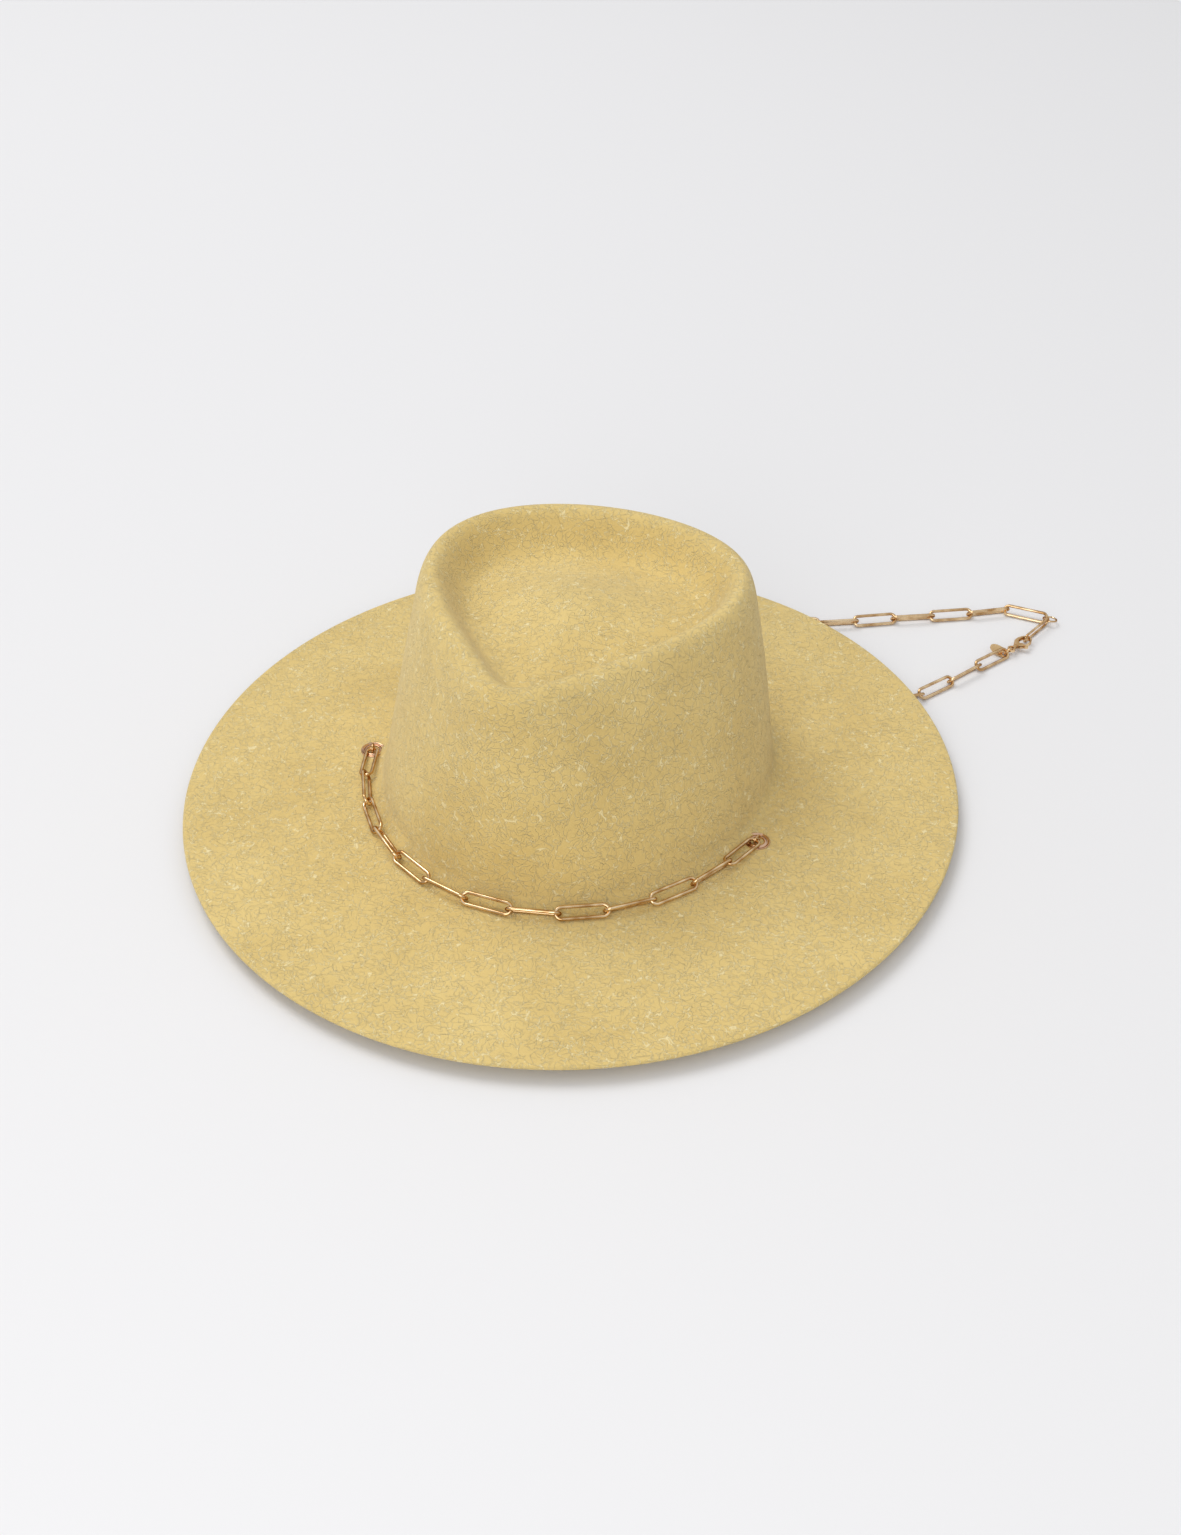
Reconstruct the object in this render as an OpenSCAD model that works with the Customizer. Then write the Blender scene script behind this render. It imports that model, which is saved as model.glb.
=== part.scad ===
// Wide-brimmed felt hat with a teardrop crown and a removable paperclip chain.
// The brim lies level, front towards -Y.  The origin is the middle of the brim,
// at the height of the surface that the hat and its chain lie on.

/* [Head and felt] */
// Length of the head opening inside the sweatband
head_len = 192; // [180:1:205]
// Width of the head opening inside the sweatband
head_wid = 166; // [154:1:178]
// Thickness of the felt
felt_t = 2.3; // [1.8:0.1:3]

/* [Brim] */
// Brim width in front of the crown
brim_front = 87.5; // [60:0.5:110]
// Brim width behind the crown
brim_back = 69.5; // [55:0.5:110]
// Brim width at each side of the crown
brim_side = 83.5; // [60:0.5:110]
// Clear height under the brim, which the chain fills
brim_clear = 5.7; // [5.6:0.1:9]

/* [Crown] */
// Height of the ridge above the brim's top face
crown_h = 96; // [85:1:118]
// How far the pinch at the front leans in from the foot of the crown
lean_front = 13.5; // [9:0.5:20]
// How far the ridge leans in at the back
lean_back = 39.5; // [25:0.5:48]
// How far the ridge leans in at each side
lean_side = 20; // [14:0.5:26]
// Width of the ridge's outer shoulder
ridge_w = 8; // [6:0.5:10]
// Length of the shoulder's curve down the wall
ridge_fall = 16; // [12:1:20]
// How blunt the front end of the teardrop is
tip_blunt = 0.3; // [0.15:0.01:0.4]
// Depth of the channel inside the ridge
dent_d = 17; // [12:1:22]
// Depth of the dent's middle, which stands up as a low dome
dome_d = 8; // [4:1:11]
// Radius of the sweep from the crown into the brim
foot_r = 6; // [4:0.5:7]
// Outward swell of the crown's wall
wall_swell = 1; // [0:0.5:2]

/* [Sweatband] */
// Height of the sweatband
band_h = 30; // [24:1:36]
// Thickness of the sweatband
band_t = 0.9; // [0.6:0.1:1.2]
// Diameter of the reed bead along its lower edge
reed_d = 1.6; // [1.2:0.1:2]
// Length of each loop of the bow at the back
bow_len = 11; // [8:1:16]
// Width of the bow's ribbon
bow_w = 7; // [5:1:10]

/* [Eyelets] */
// Bore of each eyelet
eyelet_bore = 5.6; // [5.4:0.1:6.4]
// Outside diameter of the eyelet's flange
eyelet_od = 11; // [10:0.5:13]
// Thickness of the eyelet's sheet metal
eyelet_t = 0.4; // [0.3:0.1:0.5]
// Thickness of the flange's rolled edge
flange_t = 0.5; // [0.4:0.1:0.7]

/* [Chain] */
// Outside length of a link
link_len = 23.2; // [20:0.2:26]
// Outside width of a link
link_wid = 6.4; // [6.2:0.1:7]
// Wire diameter of a link
link_wire = 1.5; // [1.3:0.1:1.6]
// Play between two links
link_gap = 0.3; // [0.2:0.05:0.4]
// Number of links across the front of the crown
front_links = 13; // [11:1:14]
// Angle of the right eyelet round the crown, from the front
eyelet_angle = 72.5; // [66:0.5:80]
// Distance of the front run from the foot of the crown
run_off = 7; // [7:0.5:9]
// Mean diameter of a small eyelet ring
ring_d = 4.0; // [3.9:0.05:4.1]
// Wire diameter of a small eyelet ring
ring_wire = 0.9; // [0.8:0.05:0.9]

/* [Clasp] */
// Outside length of the narrow end link
end_len = 24.5; // [22:0.5:27]
// Outside width of the narrow end link
end_wid = 5.4; // [5.3:0.1:6]
// Wire diameter of the narrow end link
end_wire = 1.2; // [1:0.1:1.2]
// Mean diameter of the ring at the loop's corner
corner_ring_d = 6.6; // [6.4:0.1:7.2]
// Mean diameter of the jump ring at the clasp
jump_ring_d = 4.8; // [4.6:0.1:5.2]
// Thickness of the clasp
clasp_t = 1.8; // [1.6:0.1:1.9]
// Length of the oval tag
tag_len = 10; // [8:0.5:12]
// Width of the oval tag
tag_wid = 5.5; // [5:0.5:6]
// Thickness of the oval tag
tag_t = 0.7; // [0.5:0.1:0.9]

/* [Hidden] */
$fn = 48;
seg = 60;
sliver = 0.05;
soft_gap = 0.3;

// ---- heights -------------------------------------------------------------
brim_under = brim_clear;
brim_top = brim_under + felt_t;
ridge_z = brim_top + crown_h;

// ---- plan of the crown's foot, the brim's edge and the ridge ---------------
foot_a = head_len / 2 + band_t + soft_gap + felt_t;
foot_b = head_wid / 2 + band_t + soft_gap + felt_t;
foot_y = (brim_front - brim_back) / 2;
edge_a = foot_a + (brim_front + brim_back) / 2;
edge_b = foot_b + brim_side;
ridge_front = foot_y - foot_a + lean_front;
ridge_back = foot_y + foot_a - lean_back;
ridge_mid = (ridge_front + ridge_back) / 2;
ridge_half = (ridge_back - ridge_front) / 2;
dent_mid = [0, foot_y - 2];
channel_q = 0.24;

function unit2(v) = v / norm(v);
function oval(c, a, b, from, to, n) =
    [for (i = [0:n]) let (t = from + (to - from) * i / n) c + [a * cos(t), b * sin(t)]];
function lift(p, z) = [p[0], p[1], z];
function mix(p, q, u) = p * (1 - u) + q * u;
function bend(p, q, r, u) = mix(mix(p, q, u), mix(q, r, u), u);
function bend4(p, q, r, s, u) = mix(bend(p, q, r, u), bend(q, r, s, u), u);

function foot(a, off = 0) = [(foot_b + off) * sin(a), foot_y - (foot_a + off) * cos(a)];
function edge(a) = [edge_b * sin(a), -edge_a * cos(a)];
function drop(a) = sin(a) * sqrt(pow(sin(a / 2), 2) + pow(tip_blunt, 2) * pow(abs(cos(a / 2)), 16));
drop_max = max([for (a = [0:2:180]) drop(a)]);
function ridge(a) = [(foot_b - lean_side) * drop(a) / drop_max, ridge_mid - ridge_half * cos(a)];

// One radial section of the felt, from the brim's edge to the middle of the
// dent.  inset is 0 for the outer face and felt_t for the inner face.
function wall_foot(a, inset) = lift(foot(a, -inset), brim_top - inset);
function wall_top(a, inset) =
    let (r = ridge(a), out = unit2(foot(a) - r))
    lift(r + out * (ridge_w - inset), ridge_z - inset);
function wall_dir(a, inset) =
    let (v = wall_top(a, inset) - wall_foot(a, inset))
    v / norm(v);
function section(a, inset) =
    let (z_brim = brim_top - inset,
         z_ridge = ridge_z - inset,
         out = unit2(edge(a) - foot(a)),
         sweep_r = foot_r + inset,
         rim = lift(edge(a), z_brim),
         low = wall_foot(a, inset),
         high = wall_top(a, inset),
         up = wall_dir(a, inset),
         brim_in = low + lift(out * sweep_r, 0),
         wall_0 = low + up * sweep_r,
         wall_1 = high - up * ridge_fall,
         crest = lift(ridge(a), z_ridge),
         lip = lift(mix(ridge(a), dent_mid, channel_q * 0.45), z_ridge),
         dip = lift(mix(ridge(a), dent_mid, channel_q * 0.62), z_ridge - dent_d),
         bed = lift(mix(ridge(a), dent_mid, channel_q * 1.15), z_ridge - dent_d),
         mid = lift(dent_mid, z_ridge - dome_d))
    concat(
        [for (u = [0, 0.5]) mix(rim, brim_in, u)],
        [for (u = [0:1/3:0.99]) bend(brim_in, low, wall_0, u)],
        [for (u = [0:1/3:0.99]) mix(wall_0, wall_1, u) + lift(out, 0) * wall_swell * 4 * u * (1 - u)],
        [for (u = [0:1/4:0.99]) bend(wall_1, high, crest, u)],
        [for (u = [0:1/5:0.99]) bend4(crest, lip, dip, bed, u)],
        [for (u = [0:1/4:0.99])
            let (p = mix(bed, mid, u))
            [p[0], p[1], bed[2] + (mid[2] - bed[2]) * (1 - cos(180 * u)) / 2]]);

// A closed skin round rings of points: outer rings, then inner rings back.
function ring_faces(rows, n) = [for (i = [0:rows - 2], j = [0:n - 1])
    let (k = (j + 1) % n)
    [i * n + j, i * n + k, (i + 1) * n + k, (i + 1) * n + j]];

// ---- chain geometry ----------------------------------------------------------
pitch = link_len - 2 * link_wire - link_gap;
wire_reach = (link_wire + link_gap) / 2;
loop_lean = 40;
bar_lean = 50;
steep_lean = 60;
function rise(lean) = (link_wid - link_wire) / 2 * sin(lean) + link_wire / 2;
table_z = rise(bar_lean);
rest_gap = 0.3;
brim_z = brim_top + rise(bar_lean) + rest_gap;
steep_z = brim_top + rise(steep_lean) + rest_gap;

// Front run: joints on an oval round the crown's foot, one pitch apart.
function run_pt(a) = foot(a, run_off);
function chord(a, b) = norm(run_pt(a) - run_pt(b));
function step_to(a, lo, hi, n) =
    n == 0 ? (lo + hi) / 2
    : let (m = (lo + hi) / 2)
      chord(a, m) > pitch ? step_to(a, m, hi, n - 1) : step_to(a, lo, m, n - 1);
function walk(a, n) = n == 0 ? [a] : concat([a], walk(step_to(a, a - 25, a, 24), n - 1));
run_angles = walk(eyelet_angle, front_links);
flange_top = brim_top + sliver + flange_t;
eye_air = 0.2;
eye_z = flange_top + link_wire / 2 + eye_air;
function joint_z(i) =
    let (k = min(i, front_links - i))
    k == 0 ? eye_z : k <= 2 ? steep_z : brim_z;
run_joint = [for (i = [0:front_links]) lift(run_pt(run_angles[i]), joint_z(i))];

// The chain goes down through each eyelet on three small rings: the end wire
// of the link above stands this far before the eyelet's middle.
hook_in = 0.8;
eyelet_reach = hook_in + wire_reach;
function flat(p) = [p[0], p[1]];
dir_right = unit2(flat(run_joint[0]) - flat(run_joint[1]));
dir_left = unit2(flat(run_joint[front_links]) - flat(run_joint[front_links - 1]));
eye_right = flat(run_joint[0]) + dir_right * eyelet_reach;
eye_left = flat(run_joint[front_links]) + dir_left * eyelet_reach;

// Loose loop behind the hat, laid out from its far corner.
corner = [186, 204];
long_heads = [174, 209, 205, 204, 206, 204];
end_head = -113;
clasp_head = 60;
clasp_strand_heads = [235, 237, 234];
function aim(h) = [cos(h), sin(h)];
function trail(p, heads, i = 0) =
    i == len(heads) ? [p] : concat([p], trail(p + aim(heads[i]) * pitch, heads, i + 1));
long_joint = trail(corner, long_heads);

corner_lean = 12;
corner_slack = 0.4;
end_slack = 0.1;
jump_slack = 0.2;
corner_off = (corner_ring_d - link_wire - ring_wire) / 2 - corner_slack;
corner_end_off = (corner_ring_d * cos(corner_lean) - end_wire - ring_wire) / 2 - end_slack;
corner_hub = corner - aim(long_heads[0]) * (wire_reach + corner_off);
end_near = corner_hub + aim(end_head) * corner_end_off;
end_far = end_near + aim(end_head) * (end_len - end_wire);

// The clasp's own sizes run along its length from the eye.
eye_x = 1.8;
eye_hole = 2.6;
eye_rim = 0.65;
eye_t = 1.5;
hook_x = 13.8;
hook_y = 0.9;
clasp_origin = end_far - aim(clasp_head) * hook_x - aim(clasp_head + 90) * hook_y;
jump_hub = clasp_origin + aim(clasp_head) * (eye_x - jump_ring_d / 2);
jump_off = (jump_ring_d - link_wire - ring_wire) / 2 - jump_slack;
strand_start = jump_hub + aim(clasp_strand_heads[0]) * (jump_off + wire_reach);
clasp_joint = trail(strand_start, clasp_strand_heads);

// Hidden runs under the hat: equal links on a shallow arc between two points,
// with at least run_spare of a link more than the straight way needs.
run_spare = 0.03;
max_turn = 300;
function bow_span(b, n) = b < 0.001 ? n * pitch : pitch * sin(n * b / 2) / sin(b / 2);
function bow_turn(d, n, lo, hi, k) =
    k == 0 ? (lo + hi) / 2
    : let (m = (lo + hi) / 2)
      bow_span(m, n) > d ? bow_turn(d, n, m, hi, k - 1) : bow_turn(d, n, lo, m, k - 1);
function hidden_run(p, q) =
    let (d = norm(q - p),
         n = ceil(d / pitch + run_spare),
         b = bow_turn(d, n, 0, max_turn / n, 30),
         h = atan2(q[1] - p[1], q[0] - p[0]))
    trail(p, [for (i = [0:n - 1]) h + b * ((n - 1) / 2 - i)]);
hook_out = 0.6;
function leave(eye, goal) =
    let (trial = hidden_run(eye, goal))
    hidden_run(eye + unit2(trial[1] - trial[0]) * (hook_out + wire_reach), goal);
left_run = leave(eye_left, long_joint[len(long_heads)]);
right_run = leave(eye_right, clasp_joint[len(clasp_strand_heads)]);

// ---- felt and sweatband ------------------------------------------------------
seat_play = 0.1;
module felt_body() {
    outer = [for (i = [0:seg - 1]) section(360 * i / seg, 0)];
    inner = [for (i = [0:seg - 1]) section(360 * i / seg, felt_t)];
    rows = len(outer[0]);
    top_mid = 2 * rows * seg;
    points = concat(
        [for (r = [0:rows - 1], i = [0:seg - 1]) outer[i][r]],
        [for (r = [0:rows - 1], i = [0:seg - 1]) inner[i][r]],
        [lift(dent_mid, ridge_z - dome_d), lift(dent_mid, ridge_z - dome_d - felt_t)]);
    upper = [for (f = ring_faces(rows, seg)) [f[3], f[2], f[1], f[0]]];
    lower = [for (f = ring_faces(rows, seg)) [for (v = f) v + rows * seg]];
    rim = [for (j = [0:seg - 1])
        let (k = (j + 1) % seg)
        [j, k, k + rows * seg, j + rows * seg]];
    last = (rows - 1) * seg;
    crown_cap = [for (j = [0:seg - 1]) [last + (j + 1) % seg, last + j, top_mid]];
    under_cap = [for (j = [0:seg - 1])
        [last + rows * seg + j, last + rows * seg + (j + 1) % seg, top_mid + 1]];
    color("khaki")
    difference() {
        polyhedron(points, concat(upper, lower, rim, crown_cap, under_cap), convexity = 8);
        // each eyelet's hole, and the flat seat that its flange presses
        for (p = [eye_right, eye_left]) {
            translate([p[0], p[1], brim_under - 1])
                cylinder(r = eyelet_bore / 2 + eyelet_t + sliver, h = felt_t + 2);
            translate([p[0], p[1], brim_top])
                cylinder(r = eyelet_od / 2 + seat_play, h = foot_r);
        }
    }
}

// A point inside the felt's straight wall, at a height above the brim's underside.
function lining(a, z, gap) =
    let (low = wall_foot(a, felt_t), up = wall_dir(a, felt_t), u = (z - low[2]) / up[2])
    low + up * u - lift(unit2(foot(a) - [0, foot_y]) * gap, 0);
reed_gap = 0.1;
band_lift = 0.3;
band_low = brim_under + reed_d + band_lift;

module sweatband() {
    profile = [[band_low, soft_gap], [band_low + band_h, soft_gap],
               [band_low + band_h, soft_gap + band_t], [band_low, soft_gap + band_t]];
    points = [for (q = profile, i = [0:seg - 1]) lining(360 * i / seg, q[0], q[1])];
    faces = [for (r = [0:3], j = [0:seg - 1])
        let (k = (j + 1) % seg, s = (r + 1) % 4)
        [r * seg + j, s * seg + j, s * seg + k, r * seg + k]];
    color("tan") polyhedron(points, faces, convexity = 4);
}

module sweatband_reed() {
    sides = 8;
    r = reed_d / 2;
    z = band_low - r - reed_gap;
    points = [for (m = [0:sides - 1], i = [0:seg - 1])
        lining(360 * i / seg, z, soft_gap + r + r * cos(360 * m / sides))
        + [0, 0, r * sin(360 * m / sides)]];
    faces = [for (m = [0:sides - 1], j = [0:seg - 1])
        let (k = (j + 1) % seg, s = (m + 1) % sides)
        [m * seg + j, m * seg + k, s * seg + k, s * seg + j]];
    color("wheat") polyhedron(points, faces, convexity = 4);
}

// The bow is sewn to the sweatband's inner face at the back of the head.
bow_z = band_low + band_h * 0.45;
bow_loft = 2.4;
bow_seat = 0.5;
bow_y = lining(180, bow_z, soft_gap + band_t)[1] - bow_loft / 2 - bow_seat;
bow_tilt = atan2(lean_back - ridge_w, crown_h);
knot_w = 4;
knot_gap = 0.2;
knot_inset = 2;
ribbon_t = 0.6;
loop_off = 0.1;
module bow_frame() {
    translate([0, bow_y, bow_z]) rotate([bow_tilt, 0, 0]) children();
}
module bow_loop(side) {
    reach = knot_w / 2 + knot_gap + bow_len / 2;
    turn = asin(reach / foot_b);
    color("tan") bow_frame()
        translate([side * reach, -reach * sin(turn) / 2 - loop_off, -bow_w / 2])
            rotate([0, 0, -side * turn])
            linear_extrude(bow_w) difference() {
                polygon(oval([0, 0], bow_len / 2, bow_loft / 2, 0, 354, 59));
                polygon(oval([0, 0], bow_len / 2 - ribbon_t, bow_loft / 2 - ribbon_t, 0, 354, 59));
            }
}
module bow_left_loop() { bow_loop(-1); }
module bow_right_loop() { bow_loop(1); }
module bow_knot() {
    color("tan") bow_frame()
        cube([knot_w, bow_loft, bow_w - knot_inset], center = true);
}

// ---- eyelets -------------------------------------------------------------------
curl_t = 0.45;
curl_w = 1.5;
washer_t = 0.5;
module eyelet(p) {
    r = eyelet_bore / 2;
    bottom = brim_under - sliver - washer_t - sliver - curl_t;
    top = brim_top + sliver;
    color("gold") translate([p[0], p[1], 0]) rotate_extrude()
        union() {
            translate([r, bottom]) square([eyelet_t, top + flange_t - bottom]);
            translate([r, top]) square([eyelet_od / 2 - r - flange_t / 2, flange_t * 0.6]);
            translate([eyelet_od / 2 - flange_t / 2, top + flange_t / 2])
                circle(r = flange_t / 2, $fn = 24);
            translate([r + flange_t / 2, top + flange_t / 2]) circle(r = flange_t / 2, $fn = 24);
            translate([r, bottom]) square([curl_w, curl_t]);
        }
}
module eyelet_right() { eyelet(eye_right); }
module eyelet_left() { eyelet(eye_left); }

module washer(p) {
    color("gold") translate([p[0], p[1], brim_under - sliver - washer_t])
        difference() {
            cylinder(r = eyelet_od / 2, h = washer_t);
            translate([0, 0, -1]) cylinder(r = eyelet_bore / 2 + eyelet_t + sliver, h = washer_t + 2);
        }
}
module washer_right() { washer(eye_right); }
module washer_left() { washer(eye_left); }

// ---- links and rings -------------------------------------------------------------
// A straight-sided link along X, flat in XY: two half rings and two bars.
module link_shape(length, width, wire) {
    r = (width - wire) / 2;
    half = length / 2 - width / 2;
    for (s = [0, 180])
        rotate([0, 0, s]) {
            translate([half, 0, 0]) rotate([0, 0, -90])
                rotate_extrude(angle = 180) translate([r, 0]) circle(r = wire / 2, $fn = 24);
            translate([-half, r, 0]) rotate([0, 90, 0]) cylinder(r = wire / 2, h = 2 * half, $fn = 24);
        }
}
module ring_shape(mean_d, wire) {
    rotate_extrude() translate([mean_d / 2, 0]) circle(r = wire / 2, $fn = 24);
}
// Lay a link between two joints, rolled about its own length.
module between(p, q, roll) {
    v = q - p;
    slope = atan2(v[2], norm(flat(v)));
    translate((p + q) / 2) rotate([roll, -slope, atan2(v[1], v[0])]) children();
}
module chain_link(p, q, roll) {
    color("goldenrod") between(p, q, roll) link_shape(link_len, link_wid, link_wire);
}
function roll_of(i) = i % 2 == 0 ? -loop_lean : bar_lean;

flat_lean = -5;
// At each end of the front run a nearly flat link reaches over the flange,
// and the link next to it stands up more.
function brim_roll(i) =
    let (k = min(i, front_links - 1 - i))
    k == 0 ? flat_lean : k == 1 ? steep_lean : roll_of(i);
module brim_link(i) {
    chain_link(run_joint[i], run_joint[i + 1], brim_roll(i));
}

module small_ring(p, heading, slope, roll) {
    color("goldenrod") translate(p) rotate([roll, -slope, heading]) ring_shape(ring_d, ring_wire);
}
// Three rings carry the chain over the flange, down the bore and out below:
// upright, turned across, and upright again.
ring_slack = 0.15;
ring_step = ring_d - ring_wire - ring_slack;
ring_rise = 0.6;
low_shift = 0.25;
high_shift = 0.2;
module eyelet_rings(eye, dir, run) {
    h_in = atan2(dir[1], dir[0]);
    v = run[1] - run[0];
    h_out = atan2(v[1], v[0]);
    low_z = table_z + ring_rise;
    small_ring(lift(eye + aim(h_out) * low_shift, low_z), h_out, 0, 90);
    small_ring(lift(eye, low_z + ring_step), (h_in + h_out) / 2, 90, 0);
    small_ring(lift(eye - dir * high_shift, low_z + 2 * ring_step), h_in, 0, 90);
}
module eyelet_rings_right() { eyelet_rings(eye_right, dir_right, right_run); }
module eyelet_rings_left() { eyelet_rings(eye_left, dir_left, left_run); }

// The first hidden link lies nearly flat under the washer, the rest lean in turn.
flat_roll = 12;
module hidden_links(run, strand) {
    n = len(run) - 1;
    for (i = [0:n - 1]) {
        turn = roll_of(len(strand) + n - i);
        roll = i == 0 ? flat_roll * sign(turn) : i == 1 ? bar_lean * sign(turn) : turn;
        chain_link(lift(run[i], table_z), lift(run[i + 1], table_z), roll);
    }
}
module hidden_links_left() { hidden_links(left_run, long_heads); }
module hidden_links_right() { hidden_links(right_run, clasp_strand_heads); }

module long_strand_link(i) {
    chain_link(lift(long_joint[i], table_z), lift(long_joint[i + 1], table_z), roll_of(i));
}
module clasp_strand_link(i) {
    chain_link(lift(clasp_joint[i], table_z), lift(clasp_joint[i + 1], table_z), roll_of(i));
}

// ---- clasp end -------------------------------------------------------------------
module corner_ring() {
    color("goldenrod") translate(lift(corner_hub, table_z))
        rotate([corner_lean, 0, long_heads[0]]) ring_shape(corner_ring_d, ring_wire);
}
end_roll = 80;
end_air = 0.2;
end_z = (end_wid - end_wire) / 2 * sin(end_roll) + end_wire / 2 + end_air;
module narrow_end_link() {
    color("goldenrod") translate(lift((end_near + end_far) / 2, end_z))
        rotate([end_roll, 0, end_head]) link_shape(end_len, end_wid, end_wire);
}

// The claw in plan: an eye, a neck, and a jaw round an oval mouth with a gate.
module clasp_frame() {
    translate(lift(clasp_origin, end_z)) rotate([0, 0, clasp_head]) children();
}
claw = [11, 0];
claw_a = 5.4;
claw_b = 3.6;
mouth = [12, 0];
mouth_a = 3.6;
mouth_b = 2.2;
pivot = [7.4, -1.5];
pin_r = 0.5;
gate_x = [8.9, 14.4];
gate_rim = 0.6;
neck_w = 1.8;
neck_l = 3.6;
slot_t = 1.2;
slot_back = 1.5;
lever_t = 0.8;
lever_air = 0.05;
lever_z = -slot_t / 2 + lever_air;
lever_arc = [226, 300];
lever_w = [0.6, 1.1];
lever_boss_r = 1.15;
thumb_r = 1.2;
thumb_x = 1.3;
pin_play = 0.04;
pin_fit = 0.01;
module clasp_body() {
    color("goldenrod") clasp_frame() difference() {
        union() {
            translate([0, 0, -clasp_t / 2]) linear_extrude(clasp_t)
                polygon(oval(claw, claw_a, claw_b, 0, 354, 59));
            translate([eye_x + eye_hole / 2, -neck_w / 2, -eye_t / 2]) cube([neck_l, neck_w, eye_t]);
            translate([eye_x, 0, -eye_t / 2]) cylinder(r = eye_hole / 2 + eye_rim, h = eye_t);
        }
        translate([0, 0, -clasp_t]) linear_extrude(2 * clasp_t)
            polygon(oval(mouth, mouth_a, mouth_b, 0, 354, 59));
        translate([eye_x, 0, -clasp_t]) cylinder(r = eye_hole / 2, h = 2 * clasp_t);
        // the lever's slot, then the gate's gap in the jaw
        translate([pivot[0] - slot_back, -2 * claw_b, -slot_t / 2])
            cube([gate_x[1] - pivot[0] + slot_back, 2 * claw_b, slot_t]);
        translate([gate_x[0], -2 * claw_b, -clasp_t])
            cube([gate_x[1] - gate_x[0], 2 * claw_b - gate_rim, 2 * clasp_t]);
        translate([pivot[0], pivot[1], -clasp_t]) cylinder(r = pin_r, h = 2 * clasp_t);
    }
}
// The lever closes the gate, and its thumb tab stands out beside the pin.
module clasp_lever() {
    color("goldenrod") clasp_frame() difference() {
        translate([0, 0, lever_z]) linear_extrude(lever_t) union() {
            polygon(concat(
                oval(claw, claw_a, claw_b, lever_arc[0], lever_arc[1], 12),
                oval(claw, claw_a - lever_w[0], claw_b - lever_w[1], lever_arc[1], lever_arc[0], 12)));
            translate(pivot) circle(r = lever_boss_r);
            translate([pivot[0] + thumb_x, -claw_b]) circle(r = thumb_r);
        }
        translate([pivot[0], pivot[1], -clasp_t]) cylinder(r = pin_r + pin_play, h = 2 * clasp_t);
    }
}
module clasp_pin() {
    color("goldenrod") clasp_frame()
        translate([pivot[0], pivot[1], -clasp_t / 2]) cylinder(r = pin_r - pin_fit, h = clasp_t);
}
// The lever's torsion spring is one coil round the pin, above the lever.
spring_wire = 0.24;
coil_gap = 0.05;
coil_lift = 0.04;
module clasp_spring() {
    coil_r = pin_r + spring_wire / 2 + coil_gap;
    color("silver") clasp_frame()
        translate([pivot[0], pivot[1], lever_z + lever_t + spring_wire / 2 + coil_lift])
            rotate_extrude() translate([coil_r, 0]) circle(r = spring_wire / 2, $fn = 24);
}
jump_lean = 60;
jump_air = 0.1;
jump_z = jump_ring_d / 2 * sin(jump_lean) + ring_wire / 2 + jump_air;
module jump_ring() {
    color("goldenrod") translate(lift(jump_hub, jump_z))
        rotate([-jump_lean, 0, clasp_head]) ring_shape(jump_ring_d, ring_wire);
}
// The tag lies beside the jump ring, which passes through its hole.
tag_head = 162;
tag_roll = -15;
tag_slope = -17;
tag_spot = 132;
tag_hole = 2.5;
tag_end = 1.85;
module oval_tag() {
    along = jump_ring_d / 2 * cos(tag_spot);
    across = jump_ring_d / 2 * sin(tag_spot);
    p = jump_hub + aim(clasp_head) * along + aim(clasp_head + 90) * across * cos(jump_lean);
    color("wheat") translate(lift(p, jump_z - across * sin(jump_lean)))
        rotate([tag_roll, tag_slope, tag_head]) difference() {
            translate([tag_len / 2 - tag_end, 0, -tag_t / 2]) linear_extrude(tag_t)
                polygon(oval([0, 0], tag_len / 2, tag_wid / 2, 0, 354, 59));
            translate([0, 0, -tag_t]) cylinder(r = tag_hole / 2, h = 2 * tag_t);
        }
}

felt_body();
sweatband();
sweatband_reed();
bow_left_loop();
bow_right_loop();
bow_knot();
eyelet_right();
eyelet_left();
washer_right();
washer_left();
eyelet_rings_right();
eyelet_rings_left();
hidden_links_left();
hidden_links_right();
for (i = [1:front_links])
    brim_link(i - 1);
for (i = [1:len(long_heads)])
    long_strand_link(i - 1);
for (i = [1:len(clasp_strand_heads)])
    clasp_strand_link(i - 1);
corner_ring();
narrow_end_link();
clasp_body();
clasp_lever();
clasp_pin();
clasp_spring();
jump_ring();
oval_tag();
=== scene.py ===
# %% [markdown]
# # A felt hat with a paperclip chain
# The hat is one piece of wool felt, blocked into a wide level brim and a crown with a
# teardrop dent.  A gold chain crosses the front of the crown, goes down through two
# eyelets in the brim, and its clasped end lies on the table behind the hat.
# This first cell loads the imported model, which fixes every place and size.

# %% Load the frame
import math

import bmesh
import bpy
import numpy as np
from mathutils import Matrix, Vector


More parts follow.
